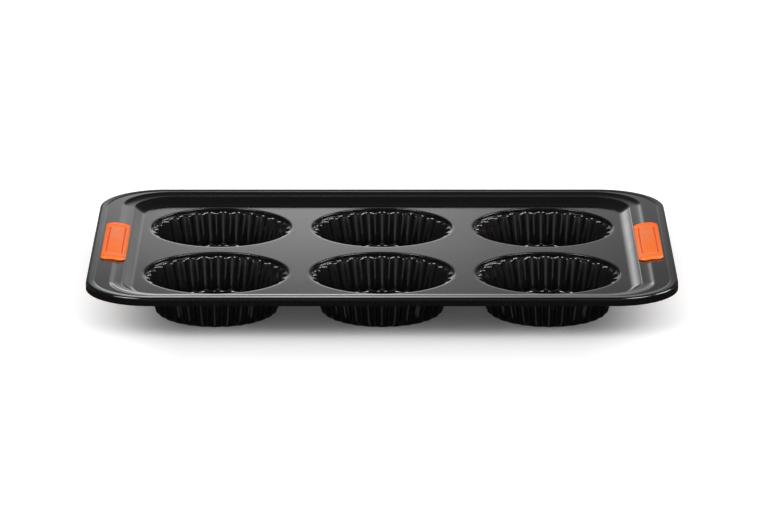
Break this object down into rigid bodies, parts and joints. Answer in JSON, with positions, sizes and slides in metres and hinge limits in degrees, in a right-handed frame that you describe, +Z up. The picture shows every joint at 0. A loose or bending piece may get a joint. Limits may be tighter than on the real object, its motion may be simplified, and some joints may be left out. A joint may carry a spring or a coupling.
{
  "type": "tartlet pan",
  "caption": "Non-stick steel baking tray with round fluted tartlet cups, loose lift-out bases, a stepped raised rim and a silicone grip set into each short end.",
  "frame": {"origin": "centre of the footprint, on the surface that the cups stand on", "axes": "+X along the length of the tray, +Y towards its back, +Z up out of the cups"},
  "size_m": [0.4072, 0.2774, 0.0349],
  "materials": {
    "non_stick_steel": "glossy black non-stick coating on pressed steel",
    "base_steel": "glossy black non-stick coating on flat steel plate",
    "silicone": "satin orange silicone"
  },
  "bodies": {
    "tray": {"tray_deck": "non_stick_steel", "cup_1": "non_stick_steel", "cup_2": "non_stick_steel", "cup_3": "non_stick_steel", "cup_4": "non_stick_steel", "cup_5": "non_stick_steel", "cup_6": "non_stick_steel", "grip_left": "silicone", "grip_right": "silicone"},
    "loose_base_1": {"base_1": "base_steel"},
    "loose_base_2": {"base_2": "base_steel"},
    "loose_base_3": {"base_3": "base_steel"},
    "loose_base_4": {"base_4": "base_steel"},
    "loose_base_5": {"base_5": "base_steel"},
    "loose_base_6": {"base_6": "base_steel"}
  },
  "joints": [
    {"name": "base_1_lift", "type": "slide", "parent": "tray", "child": "loose_base_1", "axis": [0, 0, 1], "range_m": [0, 0.045]},
    {"name": "base_2_lift", "type": "slide", "parent": "tray", "child": "loose_base_2", "axis": [0, 0, 1], "range_m": [0, 0.045]},
    {"name": "base_3_lift", "type": "slide", "parent": "tray", "child": "loose_base_3", "axis": [0, 0, 1], "range_m": [0, 0.045]},
    {"name": "base_4_lift", "type": "slide", "parent": "tray", "child": "loose_base_4", "axis": [0, 0, 1], "range_m": [0, 0.045]},
    {"name": "base_5_lift", "type": "slide", "parent": "tray", "child": "loose_base_5", "axis": [0, 0, 1], "range_m": [0, 0.045]},
    {"name": "base_6_lift", "type": "slide", "parent": "tray", "child": "loose_base_6", "axis": [0, 0, 1], "range_m": [0, 0.045]}
  ]
}
